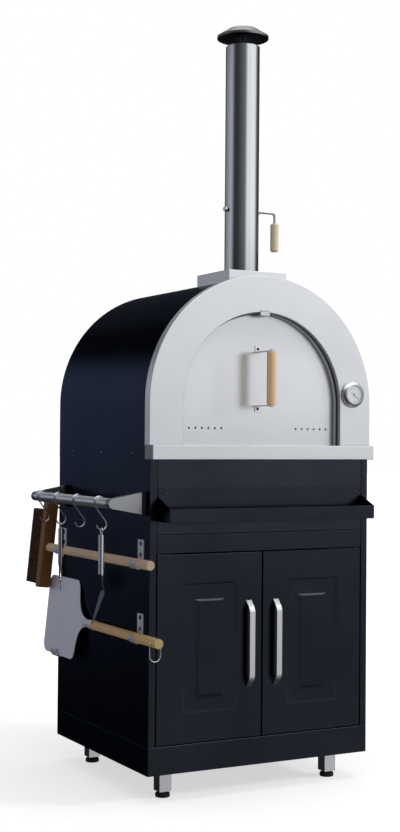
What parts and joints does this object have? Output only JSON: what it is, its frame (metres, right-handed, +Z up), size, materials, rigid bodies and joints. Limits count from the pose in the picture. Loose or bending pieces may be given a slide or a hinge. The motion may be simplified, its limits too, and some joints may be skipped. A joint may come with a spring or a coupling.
{
  "type": "outdoor pizza oven table",
  "caption": "Outdoor pizza oven with arched stainless front, flue and damper on a two-door black steel cabinet with sauce tray and a side rail carrying hooks and tools",
  "frame": {"origin": "on the floor, at the middle of the cabinet's footprint", "axes": "+X to the right of someone facing the oven, +Y to the rear, +Z up; the front is at -Y"},
  "size_m": [0.7964, 0.84, 2.084],
  "materials": {
    "black_panel": "satin powder coat",
    "stainless": "fine brushed",
    "polished": "polished",
    "dark_steel": "satin grey",
    "handle_metal": "satin",
    "wire": "bright drawn wire",
    "light_wood": "clear lacquer",
    "brown_wood": "stained",
    "bristle": "stiff fibre",
    "stone": "fired clay, unglazed",
    "lagging": "mineral fibre blanket",
    "glass": "clear",
    "black_rubber": "matt",
    "needle_black": "matt"
  },
  "bodies": {
    "base": {"plinth": "black_panel", "side_panel_left": "black_panel", "side_panel_right": "black_panel", "rear_panel": "black_panel", "upper_front_panel": "black_panel", "door_header": "black_panel", "support_frame": "stainless", "door_pivot_pins": "wire", "magnet_catches": "black_rubber", "sauce_tray": "black_panel", "hearth_pan": "black_panel", "hearth_stones": "stone", "insulation": "lagging", "inner_chamber": "stainless", "mouth_liner": "stainless", "dome_skin": "black_panel", "dome_rear_cover": "black_panel", "fascia": "stainless", "ledge": "stainless", "thermometer": "polished", "thermometer_glass": "glass", "flue_collar": "stainless", "flue_spigot": "stainless", "chimney": "stainless", "chimney_cap": "dark_steel", "side_rail": "stainless", "rail_brackets": "dark_steel", "j_brackets": "dark_steel", "body_screws": "black_panel"},
    "door_left": {"cabinet_door_left": "black_panel", "door_handle_left": "handle_metal"},
    "door_right": {"cabinet_door_right": "black_panel", "door_handle_right": "handle_metal"},
    "oven_door": {"oven_door_skin": "stainless", "oven_door_liner": "stainless", "oven_handle_brackets": "stainless", "oven_handle_grip": "light_wood", "oven_handle_bolt": "wire"},
    "damper": {"damper_rod": "wire", "damper_plate": "stainless", "damper_grip": "light_wood"},
    "needle": {"thermometer_needle": "needle_black"},
    "foot_front_left": {"levelling_foot_front_left": "black_rubber"},
    "foot_front_right": {"levelling_foot_front_right": "black_rubber"},
    "foot_rear_left": {"levelling_foot_rear_left": "black_rubber"},
    "foot_rear_right": {"levelling_foot_rear_right": "black_rubber"},
    "hook_1": {"s_hook_1": "wire"},
    "hook_2": {"s_hook_2": "wire"},
    "hook_3": {"s_hook_3": "wire"},
    "hook_4": {"s_hook_4": "wire"},
    "cutter": {"pizza_cutter": "polished"},
    "wheel": {"cutter_wheel": "polished"},
    "server": {"pizza_server": "polished"},
    "brush": {"brush_pole": "light_wood", "brush_head": "brown_wood", "brush_bristles": "bristle"},
    "peel": {"peel_pole": "light_wood", "peel_ferrule": "stainless", "peel_blade": "stainless"},
    "loop": {"peel_loop": "wire"}
  },
  "joints": [
    {"name": "door_left_swing", "type": "hinge", "parent": "base", "child": "door_left", "pos_m": [-0.309, -0.29, 0.3965], "axis": [0, 0, -1], "range_deg": [0, 90]},
    {"name": "door_right_swing", "type": "hinge", "parent": "base", "child": "door_right", "pos_m": [0.309, -0.29, 0.3965], "axis": [0, 0, 1], "range_deg": [0, 90]},
    {"name": "oven_door_pull", "type": "slide", "parent": "base", "child": "oven_door", "axis": [0, -1, 0], "range_m": [0, 0.25]},
    {"name": "damper_turn", "type": "hinge", "parent": "base", "child": "damper", "pos_m": [0, -0.174, 1.579], "axis": [1, 0, 0], "range_deg": [-90, 90]},
    {"name": "needle_turn", "type": "hinge", "parent": "base", "child": "needle", "pos_m": [0.285, -0.311, 1.071], "axis": [0, 1, 0], "range_deg": [0, 270]},
    {"name": "foot_front_left_screw", "type": "slide", "parent": "base", "child": "foot_front_left", "axis": [0, 0, -1], "range_m": [0, 0.015]},
    {"name": "foot_front_right_screw", "type": "slide", "parent": "base", "child": "foot_front_right", "axis": [0, 0, -1], "range_m": [0, 0.015]},
    {"name": "foot_rear_left_screw", "type": "slide", "parent": "base", "child": "foot_rear_left", "axis": [0, 0, -1], "range_m": [0, 0.015]},
    {"name": "foot_rear_right_screw", "type": "slide", "parent": "base", "child": "foot_rear_right", "axis": [0, 0, -1], "range_m": [0, 0.015]},
    {"name": "hook_1_slide", "type": "slide", "parent": "base", "child": "hook_1", "axis": [0, 1, 0], "range_m": [-0.025, 0.025]},
    {"name": "hook_2_slide", "type": "slide", "parent": "base", "child": "hook_2", "axis": [0, 1, 0], "range_m": [-0.025, 0.025]},
    {"name": "hook_3_slide", "type": "slide", "parent": "base", "child": "hook_3", "axis": [0, 1, 0], "range_m": [-0.025, 0.025]},
    {"name": "hook_4_slide", "type": "slide", "parent": "base", "child": "hook_4", "axis": [0, 1, 0], "range_m": [-0.025, 0.025]},
    {"name": "cutter_swing", "type": "hinge", "parent": "hook_2", "child": "cutter", "pos_m": [-0.426, 0.08, 0.7018], "axis": [0.9205, -0.3907, 0], "range_deg": [-15, 15]},
    {"name": "wheel_spin", "type": "hinge", "parent": "cutter", "child": "wheel", "pos_m": [-0.426, 0.08, 0.5488], "axis": [0.9205, -0.3907, 0], "continuous": true},
    {"name": "server_swing", "type": "hinge", "parent": "hook_4", "child": "server", "pos_m": [-0.426, -0.192, 0.7018], "axis": [1, 0, 0], "range_deg": [-15, 15]},
    {"name": "brush_lift", "type": "slide", "parent": "base", "child": "brush", "axis": [0, 0, 1], "range_m": [0, 0.06]},
    {"name": "peel_lift", "type": "slide", "parent": "base", "child": "peel", "axis": [0, 0, 1], "range_m": [0, 0.03]},
    {"name": "loop_swing", "type": "hinge", "parent": "peel", "child": "loop", "pos_m": [-0.355, -0.367, 0.428], "axis": [1, 0, 0], "range_deg": [-60, 60]}
  ]
}
